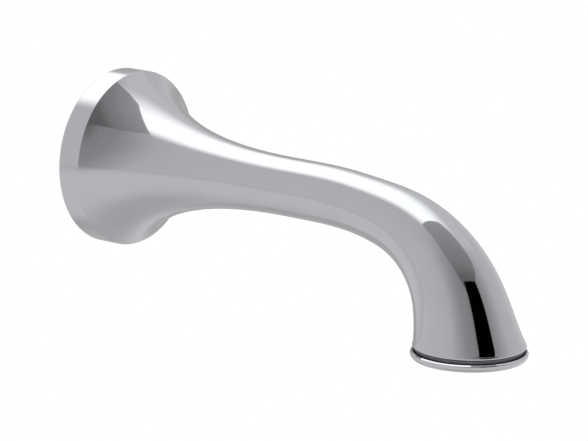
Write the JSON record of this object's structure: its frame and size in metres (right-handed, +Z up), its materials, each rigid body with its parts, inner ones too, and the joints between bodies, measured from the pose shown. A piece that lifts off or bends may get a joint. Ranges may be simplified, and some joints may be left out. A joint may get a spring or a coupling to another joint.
{
  "type": "bath spout",
  "caption": "Wall-mounted bath spout in polished chrome: a round flange flares into a slim neck that bends down and widens into a bell outlet with a moulded lip.",
  "frame": {"origin": "centre of the wall flange's back face, on the wall, in line with the inlet", "axes": "-Y points out from the wall towards the outlet, +Y into the wall along the inlet, +Z up; the spout is symmetric about X = 0"},
  "size_m": [0.07, 0.1983, 0.0878],
  "materials": {
    "polished_chrome": "mirror-polished chrome plate on cast brass"
  },
  "bodies": {
    "root": {"spout_body": "polished_chrome"}
  },
  "joints": []
}
